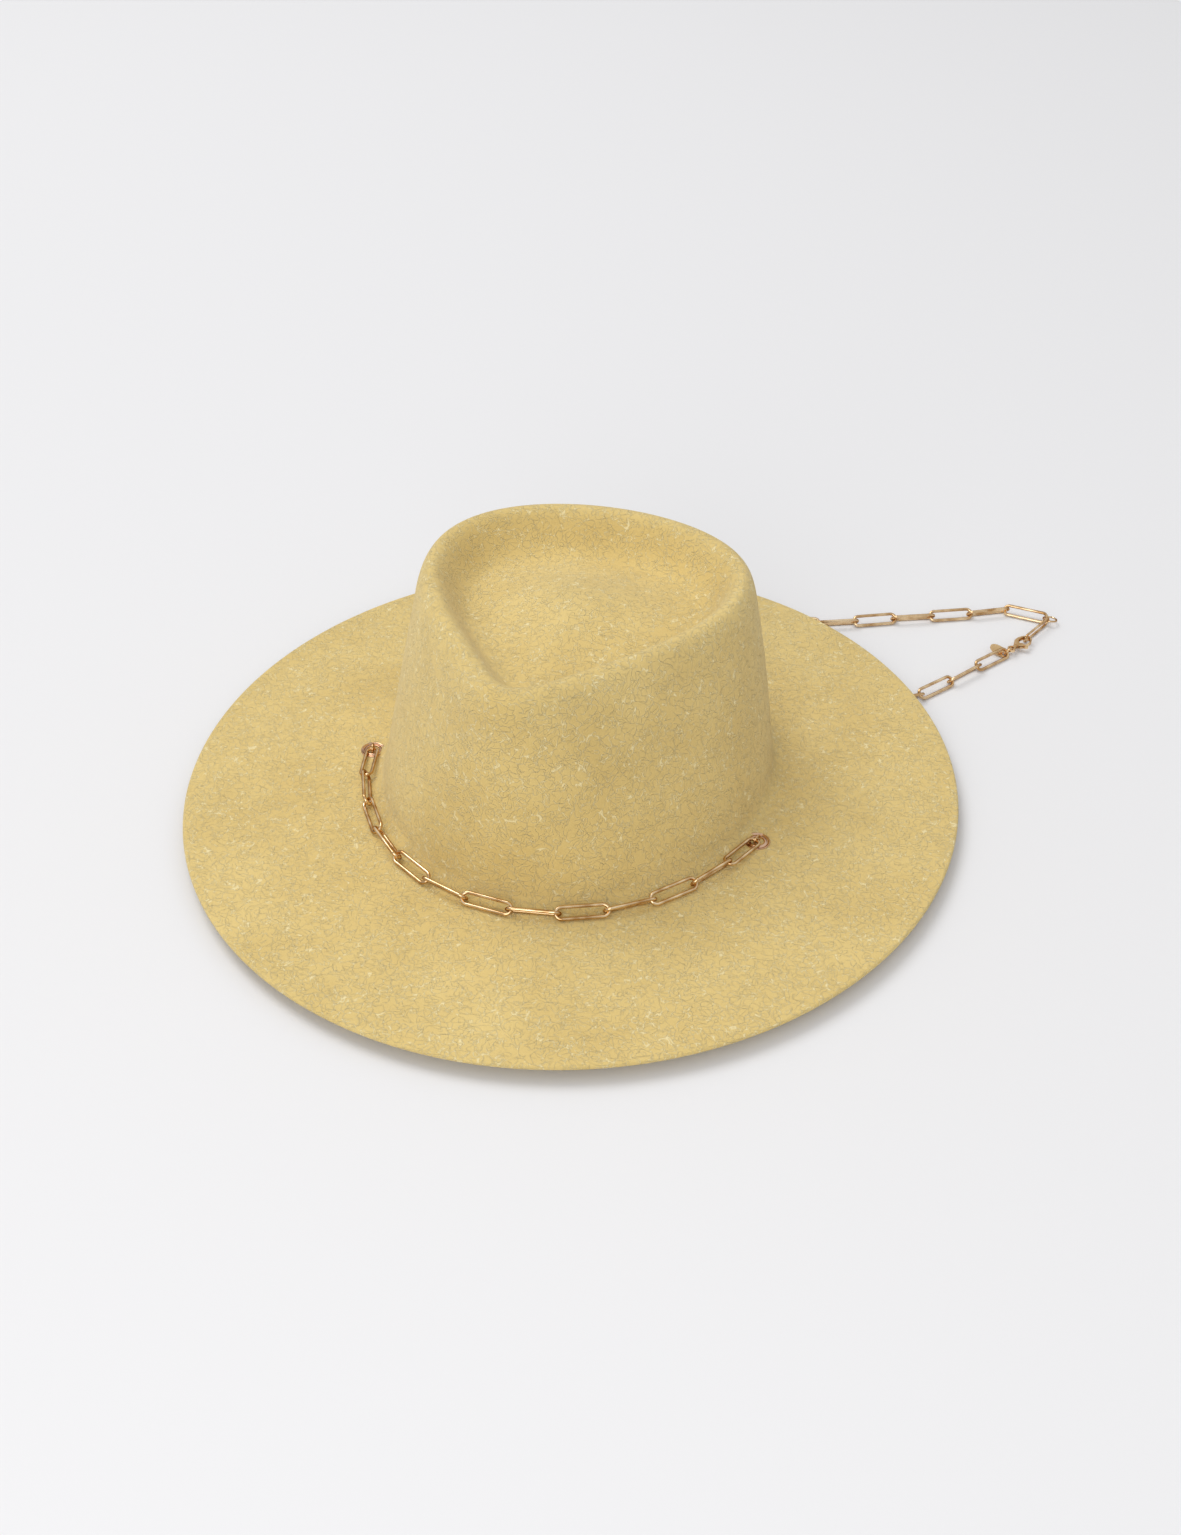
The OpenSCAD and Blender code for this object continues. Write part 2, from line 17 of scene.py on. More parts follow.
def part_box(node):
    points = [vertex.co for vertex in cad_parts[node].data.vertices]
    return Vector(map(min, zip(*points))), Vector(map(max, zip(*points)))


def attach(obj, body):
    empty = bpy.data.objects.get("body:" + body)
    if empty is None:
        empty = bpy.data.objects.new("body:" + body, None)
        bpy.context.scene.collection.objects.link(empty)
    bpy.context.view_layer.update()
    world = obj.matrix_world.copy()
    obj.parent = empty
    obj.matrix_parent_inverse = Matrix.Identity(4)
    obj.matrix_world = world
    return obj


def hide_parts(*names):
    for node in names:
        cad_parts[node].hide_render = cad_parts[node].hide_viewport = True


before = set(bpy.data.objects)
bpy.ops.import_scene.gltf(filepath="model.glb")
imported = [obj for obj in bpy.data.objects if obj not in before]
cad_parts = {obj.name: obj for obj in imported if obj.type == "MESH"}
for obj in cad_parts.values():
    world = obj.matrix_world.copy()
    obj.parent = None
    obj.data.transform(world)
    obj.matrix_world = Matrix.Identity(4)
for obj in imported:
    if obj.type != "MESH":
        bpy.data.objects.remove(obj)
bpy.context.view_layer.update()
MM = 0.001

# %% [markdown]
# ## Camera
# The camera looks down on the hat from the front, a little to the wearer's left.  It is
# placed by an azimuth, an elevation and a distance from a target on the table, because
# those three are what a person with a camera on a stand would change.

# %% Camera
VIEW_AZIMUTH = 18.0
VIEW_ELEVATION = 37.4
VIEW_DISTANCE = 0.800
VIEW_TARGET = Vector((0.003, 0.016, 0.0))
VIEW_LENS = 41.1
SENSOR_WIDTH = 36.0


def place_camera():
    az, el = math.radians(VIEW_AZIMUTH), math.radians(VIEW_ELEVATION)
    away = Vector((math.sin(az) * math.cos(el), -math.cos(az) * math.cos(el), math.sin(el)))
    data = bpy.data.cameras.new("camera")
    data.sensor_width = SENSOR_WIDTH
    data.lens = VIEW_LENS
    data.clip_start = 0.01
    camera = bpy.data.objects.new("camera", data)
    bpy.context.scene.collection.objects.link(camera)
    camera.location = VIEW_TARGET + away * VIEW_DISTANCE
    camera.rotation_euler = (-away).to_track_quat("-Z", "Y").to_euler()
    bpy.context.scene.camera = camera
    return camera


camera = place_camera()
print("camera at", [round(v, 3) for v in camera.location])

# %% [markdown]
# ## Table and light
# A pale table that runs on without an edge, one large soft light high on the left, and a
# weak fill.  Soft light keeps the felt matt and leaves a faint shadow.  The sky darkens
# towards the horizon, so that polished metal has something dark to mirror.

# %% Table and light
KEY_SIZE = 2.3
KEY_PLACE = Vector((-1.60, 0.80, 3.10))
KEY_WATTS = 47.5
FILL_SIZE = 1.2
FILL_PLACE = Vector((0.1, -1.5, 0.75))
FILL_WATTS = 8.5
SKY_LEVELS = (0.26, 0.72)
SKY_RISE = (0.08, 0.55)
SKY_TINT = (0.98, 0.985, 1.0, 1.0)
LIGHT_AIM = Vector((0, 0, 0.03))
TABLE_REACH = 6.0
TABLE_TONE = (0.80, 0.795, 0.80, 1.0)


def area_light(name, place, size, watts):
    data = bpy.data.lights.new(name, "AREA")
    data.shape = "DISK"
    data.size = size
    data.energy = watts
    light = bpy.data.objects.new(name, data)
    bpy.context.scene.collection.objects.link(light)
    light.location = place
    light.rotation_euler = (LIGHT_AIM - place).to_track_quat("-Z", "Y").to_euler()


def make_table():
    mesh = bpy.data.meshes.new("table")
    signs = ((-1, -1), (1, -1), (1, 1), (-1, 1))
    corners = [(x * TABLE_REACH, y * TABLE_REACH, 0) for x, y in signs]
    mesh.from_pydata(corners, [], [(0, 1, 2, 3)])
    table = bpy.data.objects.new("table", mesh)
    bpy.context.scene.collection.objects.link(table)
    paint = bpy.data.materials.new("table_paint")
    paint.use_nodes = True
    shader = paint.node_tree.nodes["Principled BSDF"]
    shader.inputs["Base Color"].default_value = TABLE_TONE
    shader.inputs["Roughness"].default_value = 0.75
    mesh.materials.append(paint)


def make_sky():
    world = bpy.data.worlds.new("studio")
    world.use_nodes = True
    sky = world.node_tree.nodes["Background"]
    sky.inputs["Color"].default_value = SKY_TINT
    links, nodes = world.node_tree.links, world.node_tree.nodes
    split = nodes.new("ShaderNodeSeparateXYZ")
    rise = nodes.new("ShaderNodeMapRange")
    rise.interpolation_type = "SMOOTHSTEP"
    for key, value in zip(("From Min", "From Max", "To Min", "To Max"), (*SKY_RISE, *SKY_LEVELS)):
        rise.inputs[key].default_value = value
    links.new(nodes.new("ShaderNodeTexCoord").outputs["Generated"], split.inputs[0])
    links.new(split.outputs["Z"], rise.inputs["Value"])
    links.new(rise.outputs["Result"], sky.inputs["Strength"])
    bpy.context.scene.world = world


make_table()
make_sky()
area_light("key", KEY_PLACE, KEY_SIZE, KEY_WATTS)
area_light("fill", FILL_PLACE, FILL_SIZE, FILL_WATTS)
bpy.context.scene.view_settings.view_transform = "Standard"

# %% [markdown]
# ## Helpers for meshes
# Most pieces are grids: rings of points joined into quads.  One helper joins the rings,
# and one puts a finished mesh on its body with its material.

# %% Mesh helpers


def grid_faces(rows, cols, close_rows=False, close_cols=True):
    """Quads between rows of points that are numbered row by row."""
    faces = []
    for i in range(rows if close_rows else rows - 1):
        for j in range(cols if close_cols else cols - 1):
            a, b = i * cols + j, i * cols + (j + 1) % cols
            k = (i + 1) % rows
            faces.append((a, b, k * cols + (j + 1) % cols, k * cols + j))
    return faces


def mesh_object(name, points, faces, material=None):
    mesh = bpy.data.meshes.new(name)
    mesh.from_pydata([tuple(p) for p in points], [], faces)
    mesh.validate()
    tidy = bmesh.new()
    tidy.from_mesh(mesh)
    bmesh.ops.recalc_face_normals(tidy, faces=tidy.faces)
    tidy.to_mesh(mesh)
    tidy.free()
    mesh.shade_smooth()
    piece = bpy.data.objects.new(name, mesh)
    bpy.context.scene.collection.objects.link(piece)
    if material:
        mesh.materials.append(material)
    return piece


def settle(piece, body, slot, *nodes):
    """The piece rides on its body and stands for its CAD nodes."""
    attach(piece, body)
    if nodes:
        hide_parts(*nodes)
    return piece


# %% [markdown]
# ## Helpers for materials
# A material is a small tree of nodes.  These helpers keep each finish to the few lines
# that matter: where the pattern is read, what noise makes it, and what it drives.

# %% Material helpers


class Finish:
    """A material being made, with short calls for the nodes that it needs."""

    def __init__(self, name):
        self.material = bpy.data.materials.new(name)
        self.material.use_nodes = True
        self.tree = self.material.node_tree
        self.shader = self.tree.nodes["Principled BSDF"]
        self.coords = self.tree.nodes.new("ShaderNodeTexCoord").outputs["Object"]

    def set(self, **values):
        for key, value in values.items():
            self.shader.inputs[key.replace("_", " ")].default_value = value

    def link(self, source, target):
        self.tree.links.new(source, target)

    def shifted(self, offset, stretch=(1, 1, 1)):
        node = self.tree.nodes.new("ShaderNodeMapping")
        node.inputs["Location"].default_value = offset
        node.inputs["Scale"].default_value = stretch
        self.link(self.coords, node.inputs["Vector"])
        return node.outputs["Vector"]

    def noise(self, scale, detail=2.0, roughness=0.5, distortion=0.0, at=None):
        node = self.tree.nodes.new("ShaderNodeTexNoise")
        node.inputs["Scale"].default_value = scale
        node.inputs["Detail"].default_value = detail
        node.inputs["Roughness"].default_value = roughness
        node.inputs["Distortion"].default_value = distortion
        self.link(at or self.coords, node.inputs["Vector"])
        return node.outputs["Fac"]

    def math(self, what, a, b=None):
        node = self.tree.nodes.new("ShaderNodeMath")
        node.operation = what
        for socket, value in zip(node.inputs, (a, b)):
            if value is None:
                continue
            if isinstance(value, (int, float)):
                socket.default_value = value
            else:
                self.link(value, socket)
        return node.outputs["Value"]

    def span(self, value, low, high, to_low=0.0, to_high=1.0):
        node = self.tree.nodes.new("ShaderNodeMapRange")
        node.interpolation_type = "SMOOTHSTEP"
        node.inputs["From Min"].default_value = low
        node.inputs["From Max"].default_value = high
        node.inputs["To Min"].default_value = to_low
        node.inputs["To Max"].default_value = to_high
        self.link(value, node.inputs["Value"])
        return node.outputs["Result"]

    def ramp(self, value, *stops):
        node = self.tree.nodes.new("ShaderNodeValToRGB")
        while len(node.color_ramp.elements) < len(stops):
            node.color_ramp.elements.new(0.5)
        for element, (place, colour) in zip(node.color_ramp.elements, stops):
            element.position = place
            element.color = (*colour, 1.0)
        self.link(value, node.inputs["Fac"])
        return node.outputs["Color"]

    def mix(self, factor, under, colour):
        """The colour laid over what is under it, as far as the factor says."""
        node = self.tree.nodes.new("ShaderNodeMix")
        node.data_type = "RGBA"
        self.link(factor, node.inputs[0])
        self.link(under, node.inputs[6])
        node.inputs[7].default_value = (*colour, 1.0)
        return node.outputs[2]

    def bump(self, height, distance, strength=1.0):
        node = self.tree.nodes.new("ShaderNodeBump")
        node.inputs["Distance"].default_value = distance
        node.inputs["Strength"].default_value = strength
        self.link(height, node.inputs["Height"])
        self.link(node.outputs["Normal"], self.shader.inputs["Normal"])


# %% [markdown]
# ## Felt
# Wool felt is a mat of pressed fibres.  Up close its face shows short curly fibres that
# catch the light, a fine grain between them and a slow change of tone.  The curly
# fibres are the contour lines of a noise, laid down in five layers and broken into
# lengths by a second noise: lines of equal height wander and curl as loose fibres do.
# The fibres are raised by the bump, and their lighter colour is a painted highlight.

# %% Felt finish
FELT_LIGHT = (0.760, 0.580, 0.235)
FELT_DARK = (0.600, 0.430, 0.150)
# Painted highlight: the light colour laid on the fibre lines.
FIBRE_HIGHLIGHT_PAINT = (0.94, 0.84, 0.52)
FIBRE_SIZE = 230.0
FIBRE_WIDTH = 0.015
FIBRE_BREAKS = (0.40, 0.48)
BREAK_SIZE = FIBRE_SIZE * 0.9
BREAK_SHIFT = 3.1
FIBRE_LAYERS = ((0.37, 0.11, 0.23), (0.71, 0.53, 0.17), (0.19, 0.83, 0.61), (0.47, 0.29, 0.97))
FIBRE_HIGHLIGHT_SHARE = 0.60
GRAIN_SIZE, GRAIN_SHARE, GRAIN_RELIEF = 2600.0, 0.55, 0.25
TONE_SIZE, TONE_SHARE = 24.0, 0.45
FELT_STOPS = (0.30, 0.62)
FELT_RELIEF = 0.00018
SHEEN_TINT = (1.0, 0.93, 0.72, 1.0)


def curly_fibres(felt, offset):
    """Short curly lines, 1 on a fibre and 0 beside it."""
    field = felt.noise(FIBRE_SIZE, detail=0.3, distortion=0.6, at=felt.shifted(offset))
    away = felt.math("ABSOLUTE", felt.math("SUBTRACT", field, 0.5))
    line = felt.math("SUBTRACT", 1.0, felt.span(away, 0.0, FIBRE_WIDTH))
    beside = tuple(v + BREAK_SHIFT for v in offset)
    breaks = felt.noise(BREAK_SIZE, detail=0.0, at=felt.shifted(beside))
    return felt.math("MULTIPLY", line, felt.span(breaks, *FIBRE_BREAKS))


def felt_finish():
    felt = Finish("wool_felt")
    fibres = curly_fibres(felt, (0.0, 0.0, 0.0))
    for offset in FIBRE_LAYERS:
        fibres = felt.math("MAXIMUM", fibres, curly_fibres(felt, offset))
    grain = felt.noise(GRAIN_SIZE, detail=2.0, roughness=0.7)
    tone = felt.noise(TONE_SIZE, detail=3.0, roughness=0.6)
    fine = felt.math("MULTIPLY", grain, GRAIN_SHARE)
    slow = felt.math("MULTIPLY", tone, TONE_SHARE)
    blotch = felt.math("ADD", fine, slow)
    base = felt.ramp(blotch, (FELT_STOPS[0], FELT_DARK), (FELT_STOPS[1], FELT_LIGHT))
    # Painted highlight: the fibre lines are mixed towards a light colour.
    colour = felt.mix(felt.math("MULTIPLY", fibres, FIBRE_HIGHLIGHT_SHARE), base, FIBRE_HIGHLIGHT_PAINT)
    felt.link(colour, felt.shader.inputs["Base Color"])
    height = felt.math("ADD", fibres, felt.math("MULTIPLY", grain, GRAIN_RELIEF))
    felt.bump(height, FELT_RELIEF)
    felt.set(Roughness=0.92, Sheen_Weight=0.25, Sheen_Roughness=0.5, Specular_IOR_Level=0.2)
    felt.shader.inputs["Sheen Tint"].default_value = SHEEN_TINT
    return felt.material


wool_felt = felt_finish()
print("felt finish has", len(wool_felt.node_tree.nodes), "nodes")

# %% [markdown]
# ## The shape of the hat
# A hatter pulls hot felt over a wooden block, so the crown's foot and the ridge round
# the dent are smooth closed curves and the wall is a straight pull between them.  The
# same idea makes the mesh: at each angle one radial section runs from the brim's edge,
# up the wall, over the ridge, down into the channel and up to the dent's low dome.
# The sizes are the ones that the CAD part is built from.

# %% Sizes of the felt
HEAD_LEN, HEAD_WID, FELT_T = 192 * MM, 166 * MM, 2.3 * MM
BAND_T, SOFT_GAP = 0.9 * MM, 0.3 * MM
BRIM_FRONT, BRIM_BACK, BRIM_SIDE, BRIM_UNDER = 87.5 * MM, 69.5 * MM, 83.5 * MM, 5.7 * MM
CROWN_H, LEAN_FRONT, LEAN_BACK, LEAN_SIDE = 96 * MM, 13.5 * MM, 39.5 * MM, 20 * MM
RIDGE_W, RIDGE_FALL, TIP_BLUNT = 8 * MM, 16 * MM, 0.3
DENT_D, DOME_D, FOOT_R, WALL_SWELL = 17 * MM, 8 * MM, 6 * MM, 1 * MM
CHANNEL_Q, CHANNEL_PULLS = 0.24, (0.45, 0.62, 1.15)
BLUNT_POWER = 16
DENT_SHIFT = 2 * MM

BRIM_TOP = BRIM_UNDER + FELT_T
RIDGE_Z = BRIM_TOP + CROWN_H
FOOT_A = HEAD_LEN / 2 + BAND_T + SOFT_GAP + FELT_T
FOOT_B = HEAD_WID / 2 + BAND_T + SOFT_GAP + FELT_T
FOOT_Y = (BRIM_FRONT - BRIM_BACK) / 2
EDGE_A = FOOT_A + (BRIM_FRONT + BRIM_BACK) / 2
EDGE_B = FOOT_B + BRIM_SIDE
RIDGE_FRONT = FOOT_Y - FOOT_A + LEAN_FRONT
RIDGE_BACK = FOOT_Y + FOOT_A - LEAN_BACK
DENT_MID = np.array([0.0, FOOT_Y - DENT_SHIFT, 0.0])


def unit(v):
    return v / np.linalg.norm(v, axis=-1, keepdims=True)


def at_height(p, z):
    """Points in plan, moved to one height."""
    q = np.array(p, float)
    q[..., 2] = z
    return q


def bend(*points):
    """A Bezier curve through control points, as a function of u."""
    def curve(u):
        row = [np.asarray(p, float) for p in points]
        while len(row) > 1:
            row = [a * (1 - u) + b * u for a, b in zip(row, row[1:])]
        return row[0]
    return curve


def foot(angle, off=0.0):
    x = (FOOT_B + off) * np.sin(angle)
    y = FOOT_Y - (FOOT_A + off) * np.cos(angle)
    return np.stack([x, y, np.zeros_like(x)], -1)


def brim_edge(angle):
    x = EDGE_B * np.sin(angle)
    return np.stack([x, -EDGE_A * np.cos(angle), np.zeros_like(x)], -1)


def drop(angle):
    blunt = TIP_BLUNT ** 2 * np.abs(np.cos(angle / 2)) ** BLUNT_POWER
    return np.sin(angle) * np.sqrt(np.sin(angle / 2) ** 2 + blunt)


DROP_MAX = drop(np.radians(np.arange(0, 181, 2))).max()


def ridge(angle):
    x = (FOOT_B - LEAN_SIDE) * drop(angle) / DROP_MAX
    y = (RIDGE_FRONT + RIDGE_BACK) / 2 - (RIDGE_BACK - RIDGE_FRONT) / 2 * np.cos(angle)
    return np.stack([x, y, np.zeros_like(x)], -1)


print(f"brim {2 * EDGE_A:.3f} x {2 * EDGE_B:.3f} m, ridge at {RIDGE_Z:.3f} m")

# %% [markdown]
# ## The felt as one skin
# The sections of the outer face and of the inner face are stacked into one closed grid
# that turns round a rounded brim edge.  The eyelet holes aren't cut: the eyelets' own
# metal covers the felt there, and the chain's opening is drawn by the eyelet.

# %% Felt body
AROUND = 360
BRIM_ROWS, FOOT_ROWS, WALL_ROWS = 22, 10, 20
RIDGE_ROWS, CHANNEL_ROWS, DOME_ROWS = 14, 16, 18


def steps_of(count):
    """Even steps from 0 up to 1, without the 1, which the next rings begin with."""
    return np.linspace(0, 1, count, endpoint=False)


def radial_section(angle, inset):
    """Rings of points from near the brim's edge to near the dent's middle."""
    z_brim, z_ridge = BRIM_TOP - inset, RIDGE_Z - inset
    out = unit(brim_edge(angle) - foot(angle))
    rim_round = FELT_T / 2
    rim = at_height(brim_edge(angle) - out * rim_round, z_brim)
    low = at_height(foot(angle, -inset), z_brim)
    to_wall = unit(foot(angle) - ridge(angle))
    high = at_height(ridge(angle) + to_wall * (RIDGE_W - inset), z_ridge)
    up = unit(high - low)
    sweep = FOOT_R + inset
    brim_in, wall_0 = low + out * sweep, low + up * sweep
    wall_1 = high - up * RIDGE_FALL
    crest = at_height(ridge(angle), z_ridge)
    inwards = [CHANNEL_Q * pull for pull in CHANNEL_PULLS]
    toward = [at_height(ridge(angle) * (1 - q) + DENT_MID * q, 0) for q in inwards]
    lip, dip = at_height(toward[0], z_ridge), at_height(toward[1], z_ridge - DENT_D)
    bed = at_height(toward[2], z_ridge - DENT_D)
    middle = at_height(np.broadcast_to(DENT_MID, bed.shape), z_ridge - DOME_D)
    rings = [rim * (1 - u) + brim_in * u for u in steps_of(BRIM_ROWS)]
    rings += [bend(brim_in, low, wall_0)(u) for u in steps_of(FOOT_ROWS)]
    rings += [wall_0 * (1 - u) + wall_1 * u + out * WALL_SWELL * 4 * u * (1 - u)
              for u in steps_of(WALL_ROWS)]
    rings += [bend(wall_1, high, crest)(u) for u in steps_of(RIDGE_ROWS)]
    rings += [bend(crest, lip, dip, bed)(u) for u in steps_of(CHANNEL_ROWS)]
    for u in steps_of(DOME_ROWS):
        p = bed * (1 - u) + middle * u
        p[..., 2] = bed[..., 2] + (middle[..., 2] - bed[..., 2]) * (1 - math.cos(math.pi * u)) / 2
        rings.append(p)
    return rings


def rim_rings(angle, steps=7):
    """The rounded raw edge, from the under face to the upper face."""
    out = unit(brim_edge(angle) - foot(angle))
    r = FELT_T / 2
    core = at_height(brim_edge(angle) - out * r, BRIM_UNDER + r)
    rings = []
    for t in np.linspace(-math.pi / 2, math.pi / 2, steps + 2)[1:-1]:
        p = core + out * r * math.cos(t)
        p[..., 2] += r * math.sin(t)
        rings.append(p)
    return rings


def felt_body():
    angle = np.linspace(0, 2 * math.pi, AROUND, endpoint=False)
    inner, outer = radial_section(angle, FELT_T), radial_section(angle, 0.0)
    rings = inner[::-1] + rim_rings(angle) + outer
    points = np.concatenate(rings)
    faces = grid_faces(len(rings), AROUND)
    low_pole, high_pole = len(points), len(points) + 1
    poles = [DENT_MID + [0, 0, RIDGE_Z - DOME_D - FELT_T], DENT_MID + [0, 0, RIDGE_Z - DOME_D]]
    last = (len(rings) - 1) * AROUND
    faces += [(j, (j + 1) % AROUND, low_pole) for j in range(AROUND)]
    faces += [(last + (j + 1) % AROUND, last + j, high_pole) for j in range(AROUND)]
    piece = mesh_object("felt", np.concatenate([points, poles]), faces, wool_felt)
    return settle(piece, "hat", "felt", "felt_body")


felt = felt_body()
print("felt faces:", len(felt.data.polygons))

# %% [markdown]
# ## Gold
# The chain is polished gold plate: metal with a low roughness, patches of a deeper tone,
# edges tinted browner than the middle as painted shade along the wires' sides, and a hair
# of waviness so that highlights break up along the wire as they do on drawn wire.

# %% Metal finishes
# Painted shade: a brown edge tint that darkens every metal at its grazing sides.
EDGE_SHADE_TINT = (0.50, 0.26, 0.12, 1.0)
WEAR_SIZE, WEAR_STOPS = 160.0, (0.32, 0.66)
GLOSS_SIZE, GLOSS_SPREAD = 900.0, (0.75, 1.35)
WAVE_SIZE, WAVE_RELIEF = 700.0, 0.000004
BRUSH_STRETCH, BRUSH_RELIEF = (900, 9000, 9000), 0.00003


def metal_finish(name, bright, deep, roughness, brushed=False):
    metal = Finish(name)
    wear = metal.noise(WEAR_SIZE, detail=2.0, roughness=0.5)
    colour = metal.ramp(wear, (WEAR_STOPS[0], deep), (WEAR_STOPS[1], bright))
    metal.link(colour, metal.shader.inputs["Base Color"])
    smooth, rough = (roughness * spread for spread in GLOSS_SPREAD)
    gloss = metal.span(metal.noise(GLOSS_SIZE, detail=2.0), 0.3, 0.7, smooth, rough)
    metal.link(gloss, metal.shader.inputs["Roughness"])
    if brushed:
        lines = metal.noise(1.0, detail=3.0, at=metal.shifted((0, 0, 0), BRUSH_STRETCH))
        metal.bump(lines, BRUSH_RELIEF, 0.7)
    else:
        metal.bump(metal.noise(WAVE_SIZE, detail=1.0), WAVE_RELIEF, 0.5)
    metal.set(Metallic=1.0)
    # Painted shade: the edge tint browns the metal's grazing sides.
    metal.shader.inputs["Specular Tint"].default_value = EDGE_SHADE_TINT
    return metal.material


gold_wire = metal_finish("gold_wire", (0.97, 0.75, 0.47), (0.56, 0.33, 0.14), 0.09)
gold_eyelet = metal_finish("gold_eyelet", (0.78, 0.52, 0.35), (0.50, 0.29, 0.17), 0.06)
tag_metal = metal_finish("brushed_tag", (0.84, 0.60, 0.33), (0.66, 0.43, 0.20), 0.26, brushed=True)
spring_steel = metal_finish("spring_steel", (0.62, 0.62, 0.64), (0.45, 0.45, 0.47), 0.28)
print("metals:", [m.name for m in (gold_wire, gold_eyelet, tag_metal, spring_steel)])

# %% [markdown]
# ## Where each link lies
# The CAD model already holds every link, so its place is read from there: the middle
# of the link's points, its long direction and its width direction.  A node that holds
# a run of links is first split into its separate links.

# %% Places of the links
SAME_POINT = 1e-6


def separate_solids(node):
    """The points of each separate solid in a CAD node."""
    scratch = bmesh.new()
    scratch.from_mesh(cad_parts[node].data)
    bmesh.ops.remove_doubles(scratch, verts=scratch.verts, dist=SAME_POINT)
    unseen = set(scratch.verts)
    solids = []
    while unseen:
        edge, solid = [unseen.pop()], []
        while edge:
            vert = edge.pop()
            solid.append(vert.co.copy())
            for link in vert.link_edges:
                other = link.other_vert(vert)
                if other in unseen:
                    unseen.discard(other)
                    edge.append(other)
        solids.append(np.array(solid))
    scratch.free()
    return sorted(solids, key=lambda s: tuple(np.round(s.mean(0), 6)))


def lie_of(points):
    """Middle and turn of a link or ring: X along it, Y across it, Z out of its plane."""
    middle = (points.min(0) + points.max(0)) / 2
    axes = np.linalg.svd(points - points.mean(0), full_matrices=False)[2]
    along, across = axes[0], axes[1]
    turn = Matrix((along, across, np.cross(along, across))).transposed()
    return middle, turn.to_euler("XYZ")


RUNS = [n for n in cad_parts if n.startswith("hidden_links")]
BRIM_LINKS = [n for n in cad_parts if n.startswith("brim_link")]
BRIM_LINKS.sort(key=lambda n: int(n.split("_")[-1]))
STRAND_LINKS = [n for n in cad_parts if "strand_link" in n]
print(len(BRIM_LINKS), "links on the brim,", len(STRAND_LINKS), "loose links")

# %% [markdown]
# ## Links and rings by Geometry Nodes
# A link is a wire bent into a long loop.  In the node tree it is a rectangle with fully
# rounded corners, swept by a round wire, and one copy is put on every point of a
# carrier mesh.  Each point carries its own turn.  Rings use the same tree: a ring is a
# link as long as it is wide.

# %% Link tree
LINK = (23.2 * MM, 6.4 * MM, 1.5 * MM)
CORNER_STEPS, WIRE_SIDES = 9, 14
ALMOST_HALF = 0.4999


def tree_with_inputs(name, inputs):
    tree = bpy.data.node_groups.new(name, "GeometryNodeTree")
    tree.interface.new_socket("Geometry", in_out="INPUT", socket_type="NodeSocketGeometry")
    for label, kind, value in inputs:
        socket = tree.interface.new_socket(label, in_out="INPUT", socket_type=kind)
        if value is not None:
            socket.default_value = value
    tree.interface.new_socket("Geometry", in_out="OUTPUT", socket_type="NodeSocketGeometry")
    return tree, tree.nodes.new("NodeGroupInput"), tree.nodes.new("NodeGroupOutput")


def add_math(tree, what, a, b):
    node = tree.nodes.new("ShaderNodeMath")
    node.operation = what
    for socket, value in zip(node.inputs, (a, b)):
        if isinstance(value, (int, float)):
            socket.default_value = value
        else:
            tree.links.new(value, socket)
    return node.outputs[0]


def copies_on_points(tree, given, points, shape, result):
    """Copies of shape on every point, turned by the attribute named turn."""
    turn = tree.nodes.new("GeometryNodeInputNamedAttribute")
    turn.data_type = "FLOAT_VECTOR"
    turn.inputs["Name"].default_value = "turn"
    to_rotation = tree.nodes.new("FunctionNodeEulerToRotation")
    place = tree.nodes.new("GeometryNodeInstanceOnPoints")
    realize = tree.nodes.new("GeometryNodeRealizeInstances")
    paint = tree.nodes.new("GeometryNodeSetMaterial")
    tree.links.new(turn.outputs["Attribute"], to_rotation.inputs[0])
    tree.links.new(points, place.inputs["Points"])
    tree.links.new(shape, place.inputs["Instance"])
    tree.links.new(to_rotation.outputs[0], place.inputs["Rotation"])
    tree.links.new(place.outputs[0], realize.inputs[0])
    tree.links.new(realize.outputs[0], paint.inputs["Geometry"])
    tree.links.new(given.outputs["Material"], paint.inputs["Material"])
    tree.links.new(paint.outputs[0], result.inputs[0])


def link_tree():
    tree, given, result = tree_with_inputs("wire_links", [
        ("Length", "NodeSocketFloat", LINK[0]), ("Width", "NodeSocketFloat", LINK[1]),
        ("Wire", "NodeSocketFloat", LINK[2]), ("Material", "NodeSocketMaterial", None)])
    box = tree.nodes.new("GeometryNodeCurvePrimitiveQuadrilateral")
    corners = tree.nodes.new("GeometryNodeFilletCurve")
    corners.mode = "POLY"
    corners.inputs["Count"].default_value = CORNER_STEPS
    corners.inputs["Limit Radius"].default_value = True
    wire = tree.nodes.new("GeometryNodeCurvePrimitiveCircle")
    wire.inputs["Resolution"].default_value = WIRE_SIDES
    sweep = tree.nodes.new("GeometryNodeCurveToMesh")
    smooth = tree.nodes.new("GeometryNodeSetShadeSmooth")
    radius = add_math(tree, "MULTIPLY", given.outputs["Wire"], 0.5)
    across = add_math(tree, "SUBTRACT", given.outputs["Width"], given.outputs["Wire"])
    along = add_math(tree, "SUBTRACT", given.outputs["Length"], given.outputs["Wire"])
    tree.links.new(along, box.inputs["Width"])
    tree.links.new(across, box.inputs["Height"])
    tree.links.new(add_math(tree, "MULTIPLY", across, ALMOST_HALF), corners.inputs["Radius"])
    tree.links.new(radius, wire.inputs["Radius"])
    tree.links.new(box.outputs[0], corners.inputs["Curve"])
    tree.links.new(corners.outputs[0], sweep.inputs["Curve"])
    tree.links.new(wire.outputs[0], sweep.inputs["Profile Curve"])
    tree.links.new(sweep.outputs[0], smooth.inputs["Geometry"])
    copies_on_points(tree, given, given.outputs["Geometry"], smooth.outputs[0], result)
    return tree


